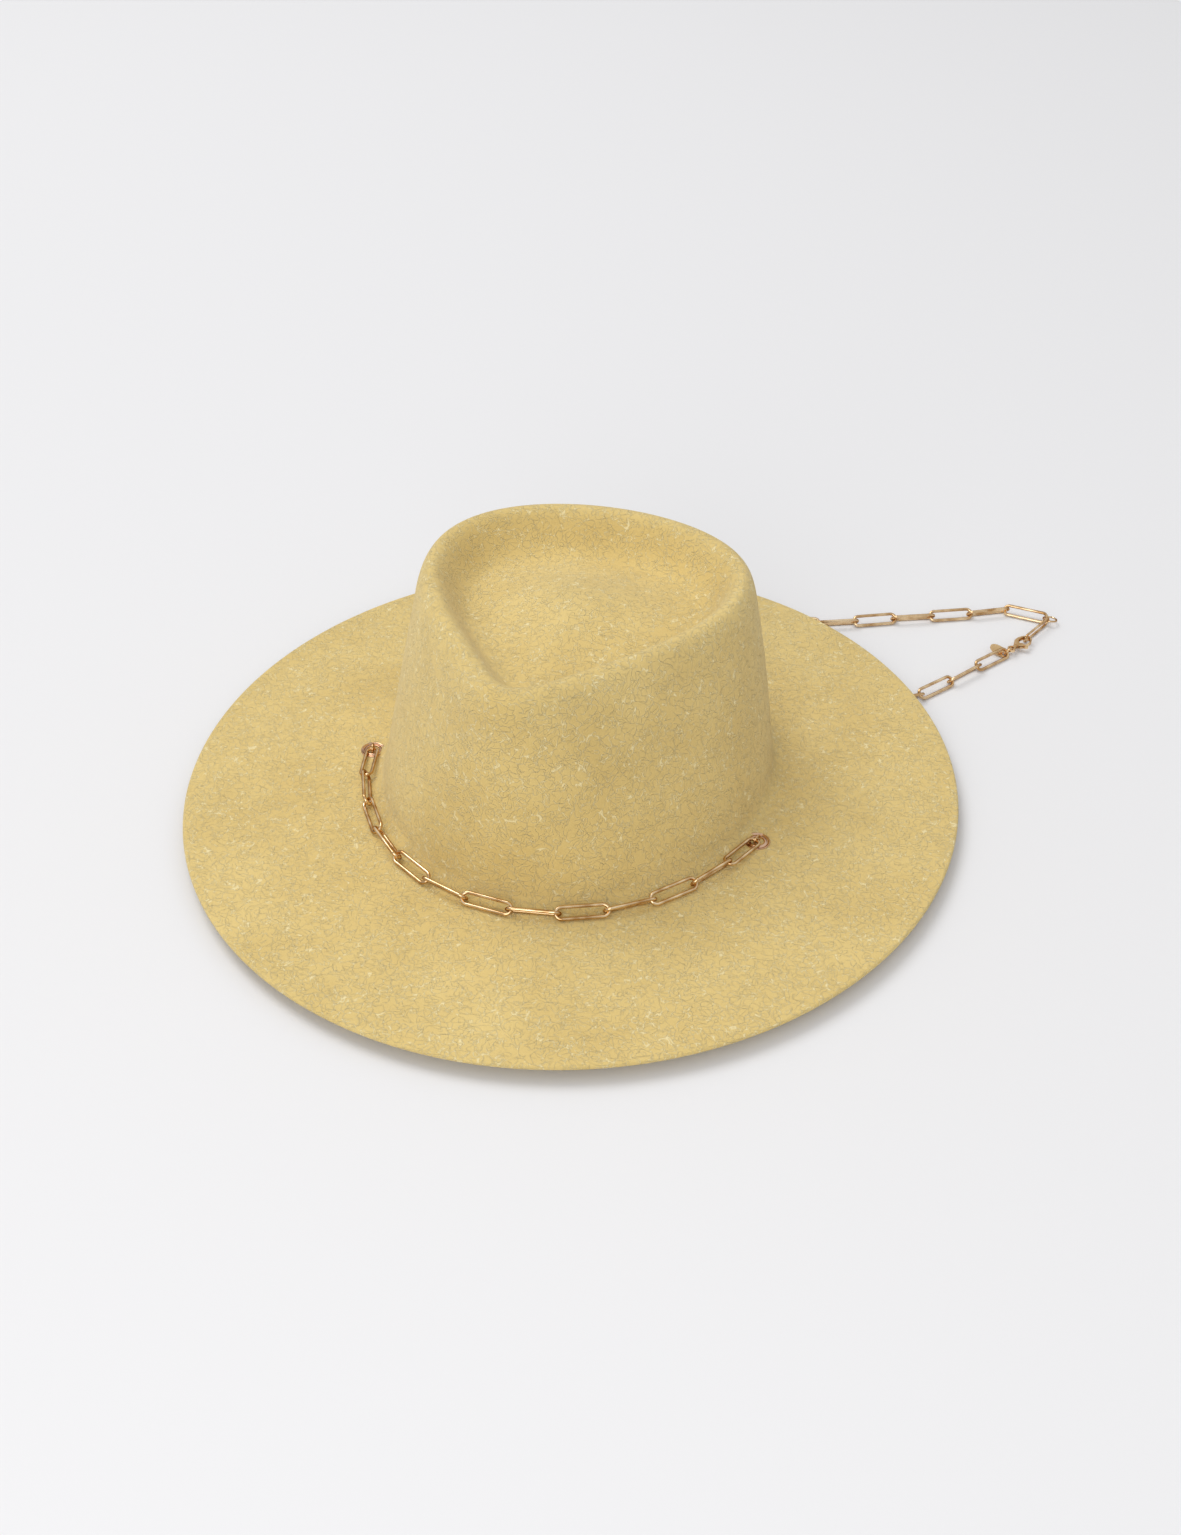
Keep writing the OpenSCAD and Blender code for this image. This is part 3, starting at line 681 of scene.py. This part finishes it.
def grown(name, carrier, tree, **values):
    """Runs a tree on a carrier object and returns the result as a plain object."""
    modifier = carrier.modifiers.new("grow", "NODES")
    modifier.node_group = tree
    by_name = {s.name: s.identifier for s in tree.interface.items_tree if s.in_out == "INPUT"}
    for key, value in values.items():
        modifier[by_name[key]] = value
    seen = bpy.context.evaluated_depsgraph_get()
    mesh = bpy.data.meshes.new_from_object(carrier.evaluated_get(seen))
    carrier.modifiers.remove(modifier)
    mesh.name = name
    piece = bpy.data.objects.new(name, mesh)
    bpy.context.scene.collection.objects.link(piece)
    return piece


def carrier_of(lies):
    """A mesh of loose points, one for each copy, with the copies' turns."""
    mesh = bpy.data.meshes.new("carrier")
    mesh.from_pydata([tuple(middle) for middle, _ in lies], [], [])
    turns = mesh.attributes.new("turn", "FLOAT_VECTOR", "POINT")
    turns.data.foreach_set("vector", [v for _, turn in lies for v in turn])
    carrier = bpy.data.objects.new("carrier", mesh)
    bpy.context.scene.collection.objects.link(carrier)
    return carrier


LINKS = link_tree()


def wires(name, body, solids, size, nodes):
    """One piece of links or rings; size is their length, width and wire."""
    length, width, wire = size
    carrier = carrier_of([lie_of(s) for s in solids])
    piece = grown(name, carrier, LINKS, Length=length, Width=width, Wire=wire, Material=gold_wire)
    bpy.data.objects.remove(carrier)
    return settle(piece, body, "chain", *nodes)


print("link tree:", len(LINKS.nodes), "nodes")

# %% [markdown]
# ## The chain
# The links on the brim and under the hat are fixed, so each run is one piece on the hat's
# body.  Behind the hat every link and ring is a body of its own and gets its own piece.

# %% The chain
END_LINK = (24.5 * MM, 5.4 * MM, 1.2 * MM)
RING_WIRE = 0.9 * MM
EYELET_RING, CORNER_RING, JUMP_RING = 4.0 * MM, 6.6 * MM, 4.8 * MM
EYELET_RINGS = [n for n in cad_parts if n.startswith("eyelet_rings")]


def ring_size(mean):
    """Length, width and wire of a ring with this mean diameter."""
    return (mean + RING_WIRE, mean + RING_WIRE, RING_WIRE)


def solids_of(nodes):
    return [solid for node in nodes for solid in separate_solids(node)]


brim_chain = wires("brim_chain", "hat", solids_of(BRIM_LINKS), LINK, BRIM_LINKS)
wires("under_chain", "hat", solids_of(RUNS), LINK, RUNS)
wires("eyelet_rings", "hat", solids_of(EYELET_RINGS), ring_size(EYELET_RING), EYELET_RINGS)
for node in STRAND_LINKS:
    wires(node + "_wire", node, solids_of([node]), LINK, [node])
LOOSE = (("corner_ring", "corner_ring_wire", ring_size(CORNER_RING)),
         ("jump_ring", "jump_ring_wire", ring_size(JUMP_RING)),
         ("narrow_end_link", "narrow_end_wire", END_LINK))
for node, name, size in LOOSE:
    wires(name, node, solids_of([node]), size, [node])
print("brim chain faces:", len(brim_chain.data.polygons))

# %% [markdown]
# ## Eyelets and washers
# An eyelet is turned sheet metal, so it is a lathe shape: one profile spun round an
# axis.  The flange has a raised outer bead, a groove, and a lip rolled over into the
# bore; below the felt its end is curled over a washer.

# %% Eyelets
EYELET_BORE, EYELET_OD, EYELET_T = 5.6 * MM, 11.0 * MM, 0.4 * MM
SLIVER, FLANGE_T, WASHER_T, CURL_T = 0.05 * MM, 0.5 * MM, 0.5 * MM, 0.45 * MM
GROOVE_IN, GROOVE_UP, GROOVE_R = 1.15 * MM, 0.42 * MM, 0.30 * MM
LIP_R, LIP_FLAT, CURL_OUT = 0.45 * MM, 0.62 * MM, 1.5 * MM


def arc(r, z, radius, start, end, steps=8):
    """Points (radius, height) along an arc of a profile, angles in degrees."""
    return [(r + radius * math.cos(math.radians(t)), z + radius * math.sin(math.radians(t)))
            for t in np.linspace(start, end, steps)]


def lathe(name, middle, profile, material, around=72):
    points = [(middle[0] + r * math.cos(t), middle[1] + r * math.sin(t), z)
              for r, z in profile for t in np.linspace(0, 2 * math.pi, around, endpoint=False)]
    return mesh_object(name, points, grid_faces(len(profile), around, close_rows=True), material)


def eyelet(side):
    low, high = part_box("eyelet_" + side)
    middle = (low + high) / 2
    bore, edge = EYELET_BORE / 2, EYELET_OD / 2
    seat, top = BRIM_TOP + SLIVER, BRIM_TOP + SLIVER + FLANGE_T
    bead = FLANGE_T / 2
    profile = arc(edge - bead, seat + bead, bead, -90, 150)
    profile += arc(edge - GROOVE_IN, seat + GROOVE_UP, GROOVE_R, -30, -150, 6)
    profile += arc(bore + LIP_FLAT, top - LIP_R, LIP_R, 60, 90, 4)
    profile += arc(bore + LIP_R, top - LIP_R, LIP_R, 100, 180, 7)
    profile += arc(bore + CURL_T, low.z + CURL_T, CURL_T, 180, 270, 6)
    profile += arc(bore + CURL_OUT - CURL_T / 2, low.z + CURL_T / 2, CURL_T / 2, -90, 90, 6)
    profile += [(bore + EYELET_T, low.z + CURL_T), (bore + EYELET_T, seat)]
    piece = lathe("eyelet_metal_" + side, middle, profile, gold_eyelet)
    return settle(piece, "hat", "eyelet", "eyelet_" + side)


def washer(side):
    low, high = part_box("washer_" + side)
    hole, edge = EYELET_BORE / 2 + EYELET_T + SLIVER, EYELET_OD / 2
    r = WASHER_T / 2
    profile = arc(edge - r, low.z + r, r, -90, 90, 8) + [(hole, high.z), (hole, low.z)]
    piece = lathe("washer_metal_" + side, (low + high) / 2, profile, gold_eyelet)
    return settle(piece, "hat", "eyelet", "washer_" + side)


for side in ("right", "left"):
    eyelet(side)
    washer(side)
low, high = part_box("eyelet_right")
print("right eyelet at", [round(v, 4) for v in (low + high) / 2])

# %% [markdown]
# ## Ribbon and thread
# Grosgrain ribbon has ribs across its length and fine threads between them.  The same
# finish in three tones serves the band, its trim and the sewing thread.

# %% Band finishes
RIB_SHARE, THREAD_SHARE, THREAD_SIZE = 0.6, 0.4, 3800.0
RIB_STOPS, RIB_RELIEF = (0.25, 0.75), 0.0001


def ribbed_finish(name, light, dark, ribs):
    """Ribbed ribbon: ribs by height, with fine threads across them."""
    cloth = Finish(name)
    wave = cloth.tree.nodes.new("ShaderNodeTexWave")
    wave.wave_type, wave.bands_direction = "BANDS", "Z"
    wave.inputs["Scale"].default_value = ribs
    wave.inputs["Distortion"].default_value = 0.4
    cloth.link(cloth.coords, wave.inputs["Vector"])
    thread = cloth.noise(THREAD_SIZE, detail=2.0, roughness=0.7)
    rib = cloth.math("MULTIPLY", wave.outputs["Fac"], RIB_SHARE)
    shade = cloth.math("ADD", rib, cloth.math("MULTIPLY", thread, THREAD_SHARE))
    colour = cloth.ramp(shade, (RIB_STOPS[0], dark), (RIB_STOPS[1], light))
    cloth.link(colour, cloth.shader.inputs["Base Color"])
    cloth.bump(shade, RIB_RELIEF, 0.8)
    cloth.set(Roughness=0.8, Sheen_Weight=0.3, Specular_IOR_Level=0.3)
    return cloth.material


band_cloth = ribbed_finish("ribbed_band", (0.62, 0.47, 0.26), (0.44, 0.31, 0.15), 330.0)
trim_cloth = ribbed_finish("trim_ribbon", (0.68, 0.54, 0.32), (0.50, 0.37, 0.19), 420.0)
thread_cloth = ribbed_finish("sewing_thread", (0.80, 0.70, 0.48), (0.62, 0.50, 0.30), 900.0)

print("cloths:", [m.name for m in (band_cloth, trim_cloth, thread_cloth)])

# %% [markdown]
# ## Sweatband and reed
# A grosgrain band sits inside the crown, with a covered reed along its lower edge.  Both
# follow the felt's straight wall, so one function gives the wall's inner face at any
# height, and each piece is a closed profile carried round it.

# %% Sweatband and reed
REED_D, BAND_H, BAND_LIFT, REED_GAP = 1.6 * MM, 30 * MM, 0.3 * MM, 0.1 * MM
BAND_LOW = BRIM_UNDER + REED_D + BAND_LIFT


def lining(angle, z, gap):
    """A point beside the inner face of the wall, at a height and a gap from it."""
    low = at_height(foot(angle, -FELT_T), BRIM_TOP - FELT_T)
    to_wall = unit(foot(angle) - ridge(angle))
    high = at_height(ridge(angle) + to_wall * (RIDGE_W - FELT_T), RIDGE_Z - FELT_T)
    up = unit(high - low)
    inward = unit(foot(angle) - np.array([0.0, FOOT_Y, 0.0]))
    return low + up * (z - low[..., 2:3]) / up[..., 2:3] - inward * gap


def carried_round(name, profile, material):
    """A closed profile of (height, gap) pairs carried round the wall's inner face."""
    angle = np.linspace(0, 2 * math.pi, AROUND, endpoint=False)
    points = np.concatenate([lining(angle, z, gap) for z, gap in profile])
    faces = grid_faces(len(profile), AROUND, close_rows=True)
    return mesh_object(name, points, faces, material)


def band_profile(steps=6):
    r = BAND_T / 2
    mid = SOFT_GAP + r
    turns = np.linspace(0, math.pi, steps)
    top = [(BAND_LOW + BAND_H - r + r * math.sin(t), mid - r * math.cos(t)) for t in turns]
    low = [(BAND_LOW + r - r * math.sin(t), mid + r * math.cos(t)) for t in turns]
    return top + low


def reed_profile(sides=14):
    r = REED_D / 2
    z = BAND_LOW - r - REED_GAP
    turn = np.linspace(0, 2 * math.pi, sides, endpoint=False)
    return [(z + r * math.sin(t), SOFT_GAP + r + r * math.cos(t)) for t in turn]


sweatband = carried_round("sweatband_ribbon", band_profile(), band_cloth)
settle(sweatband, "hat", "sweatband", "sweatband")
reed = carried_round("reed_cover", reed_profile(), trim_cloth)
settle(reed, "hat", "trim", "sweatband_reed")
print("faces of band and reed:", len(sweatband.data.polygons), len(reed.data.polygons))

# %% [markdown]
# ## Stitches
# The reed is sewn on with one even row of stitches.  A stitch is a short raised arc of
# thread; the tree puts one on each point of a carrier that runs round the band.

# %% Stitches by Geometry Nodes
STITCH_LONG, STITCH_THICK, STITCH_STEP = 2.4 * MM, 0.42 * MM, 3.4 * MM
STITCH_UP = 2.2 * MM
STITCH_STEPS, STITCH_SIDES, STITCH_RISE = 8, 8, 0.7
FINE_TURNS, TURN_STEP = 3601, 0.001


def stitch_tree():
    tree, given, result = tree_with_inputs("stitches", [
        ("Length", "NodeSocketFloat", STITCH_LONG), ("Thread", "NodeSocketFloat", STITCH_THICK),
        ("Material", "NodeSocketMaterial", None)])
    line = tree.nodes.new("GeometryNodeCurvePrimitiveBezierSegment")
    line.inputs["Resolution"].default_value = STITCH_STEPS
    ends = [tree.nodes.new("ShaderNodeCombineXYZ") for _ in range(4)]
    half = add_math(tree, "MULTIPLY", given.outputs["Length"], 0.5)
    quarter = add_math(tree, "MULTIPLY", half, 0.5)
    sink = add_math(tree, "MULTIPLY", given.outputs["Thread"], -0.5)
    rise = add_math(tree, "MULTIPLY", given.outputs["Thread"], STITCH_RISE)
    back_half = add_math(tree, "MULTIPLY", half, -1.0)
    back_quarter = add_math(tree, "MULTIPLY", quarter, -1.0)
    reaches = (back_half, back_quarter, quarter, half)
    for node, x, z in zip(ends, reaches, (sink, rise, rise, sink)):
        tree.links.new(x, node.inputs["X"])
        tree.links.new(z, node.inputs["Z"])
    for key, node in zip(("Start", "Start Handle", "End Handle", "End"), ends):
        tree.links.new(node.outputs[0], line.inputs[key])
    thread = tree.nodes.new("GeometryNodeCurvePrimitiveCircle")
    thread.inputs["Resolution"].default_value = STITCH_SIDES
    sweep = tree.nodes.new("GeometryNodeCurveToMesh")
    sweep.inputs["Fill Caps"].default_value = True
    smooth = tree.nodes.new("GeometryNodeSetShadeSmooth")
    radius = add_math(tree, "MULTIPLY", given.outputs["Thread"], 0.5)
    tree.links.new(radius, thread.inputs["Radius"])
    tree.links.new(line.outputs[0], sweep.inputs["Curve"])
    tree.links.new(thread.outputs[0], sweep.inputs["Profile Curve"])
    tree.links.new(sweep.outputs[0], smooth.inputs["Geometry"])
    copies_on_points(tree, given, given.outputs["Geometry"], smooth.outputs[0], result)
    return tree


def stitch_lies():
    """Places and turns of the stitches: X along the band, Z into the head room."""
    fine = np.linspace(0, 2 * math.pi, FINE_TURNS)
    height, gap = BAND_LOW + STITCH_UP, SOFT_GAP + BAND_T
    path = lining(fine, height, gap)
    run = np.concatenate([[0], np.cumsum(np.linalg.norm(np.diff(path, axis=0), axis=1))])
    count = round(run[-1] / STITCH_STEP)
    lies = []
    for angle in np.interp(np.arange(count) * run[-1] / count, run, fine):
        here, near = lining(np.array([angle, angle + TURN_STEP]), height, gap)
        along = Vector(near - here).normalized()
        inward = Vector((-math.sin(angle) * FOOT_A, math.cos(angle) * FOOT_B, 0)).normalized()
        across = inward.cross(along).normalized()
        turn = Matrix((along, across, along.cross(across))).transposed()
        lies.append((here, turn.to_euler("XYZ")))
    return lies


carrier = carrier_of(stitch_lies())
sizes = {"Length": STITCH_LONG, "Thread": STITCH_THICK}
stitches = grown("band_stitches", carrier, stitch_tree(), Material=thread_cloth, **sizes)
bpy.data.objects.remove(carrier)
settle(stitches, "hat", "trim")
print("stitch faces:", len(stitches.data.polygons))

# %% [markdown]
# ## The bow inside the back
# Two flat loops of ribbon and a knot mark the back of the band.  A loop is a strip that
# goes out and comes back, narrower where the knot gathers it.

# %% Bow
BOW_LEN, BOW_W, BOW_LOFT, KNOT_W, RIBBON_T = 11 * MM, 7 * MM, 2.4 * MM, 4 * MM, 0.6 * MM
KNOT_GAP, BOW_SEAT, LOOP_OFF, GATHER = 0.2 * MM, 0.5 * MM, 0.1 * MM, 0.72
RIBBON_CROWN, LOOP_SLACK, LOFT_SLACK = 0.12 * MM, 0.05 * MM, 0.15 * MM
KNOT_INSET, KNOT_WAIST, BOW_UP = 1 * MM, 0.07, 0.45
KNOT_END_POWER, KNOT_SIDE_POWER, KNOT_FACE_POWER = 5, 0.45, 0.6
BOW_Z = BAND_LOW + BAND_H * BOW_UP
BOW_Y = lining(np.array([math.pi]), BOW_Z, SOFT_GAP + BAND_T)[0, 1] - BOW_LOFT / 2 - BOW_SEAT
BOW_LEAN = math.atan2(LEAN_BACK - RIDGE_W, CROWN_H)
BOW_FRAME = Matrix.Translation((0, BOW_Y, BOW_Z)) @ Matrix.Rotation(BOW_LEAN, 4, "X")


def ribbon_loop(side, across=9, around=48):
    """A closed strip with thickness: rows run round the loop, columns round the strip."""
    reach = KNOT_W / 2 + KNOT_GAP + BOW_LEN / 2
    turn = math.asin(reach / FOOT_B)
    off = -reach * math.sin(turn) / 2 - LOOP_OFF
    place = (BOW_FRAME @ Matrix.Translation((side * reach, off, 0))
             @ Matrix.Rotation(-side * turn, 4, "Z"))
    points = []
    for t in np.linspace(0, 2 * math.pi, around, endpoint=False):
        gather = 1 - (1 - GATHER) * (1 - side * math.cos(t)) / 2
        faces_of_strip = ((0, np.linspace(-1, 1, across)), (RIBBON_T, np.linspace(1, -1, across)))
        for inset, row in faces_of_strip:
            for v in row:
                crown = RIBBON_CROWN * (1 - v * v)
                x = (BOW_LEN / 2 - inset - LOOP_SLACK) * math.cos(t)
                y = (BOW_LOFT / 2 - inset - LOFT_SLACK + crown) * math.sin(t)
                points.append(place @ Vector((x, y, v * BOW_W / 2 * gather)))
    faces = grid_faces(around, 2 * across, close_rows=True)
    return mesh_object("ribbon_loop", points, faces, trim_cloth)


def ribbon_knot(rows=14, cols=40):
    """The band round the middle: a soft box with a hollow waist where it is pulled tight."""
    points = []
    for u in np.linspace(-1, 1, rows):
        ease = (1 - abs(u) ** KNOT_END_POWER) ** 0.2
        for t in np.linspace(0, 2 * math.pi, cols, endpoint=False):
            c, s = math.cos(t), math.sin(t)
            waist = 1 - KNOT_WAIST + KNOT_WAIST * u * u
            x = math.copysign(abs(c) ** KNOT_SIDE_POWER, c) * KNOT_W / 2 * waist
            y = math.copysign(abs(s) ** KNOT_FACE_POWER, s) * BOW_LOFT / 2
            points.append(BOW_FRAME @ Vector((x * ease, y * ease, u * (BOW_W / 2 - KNOT_INSET))))
    return mesh_object("ribbon_knot", points, grid_faces(rows, cols), trim_cloth)


for side, word in ((-1, "left"), (1, "right")):
    loop = ribbon_loop(side)
    loop.name = f"ribbon_{word}_loop"
    settle(loop, "hat", "trim", f"bow_{word}_loop")
settle(ribbon_knot(), "hat", "trim", "bow_knot")
print("bow at", [round(v, 4) for v in BOW_FRAME.translation])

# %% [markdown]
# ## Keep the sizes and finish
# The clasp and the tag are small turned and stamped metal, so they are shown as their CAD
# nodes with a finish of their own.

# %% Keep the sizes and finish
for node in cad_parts.values():
    if not node.data.materials:
        node.data.materials.append(gold_wire)
for name in ("clasp_body", "clasp_lever", "clasp_pin"):
    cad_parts[name].data.materials[0] = gold_wire
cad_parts["oval_tag"].data.materials[0] = tag_metal
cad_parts["clasp_spring"].data.materials[0] = spring_steel
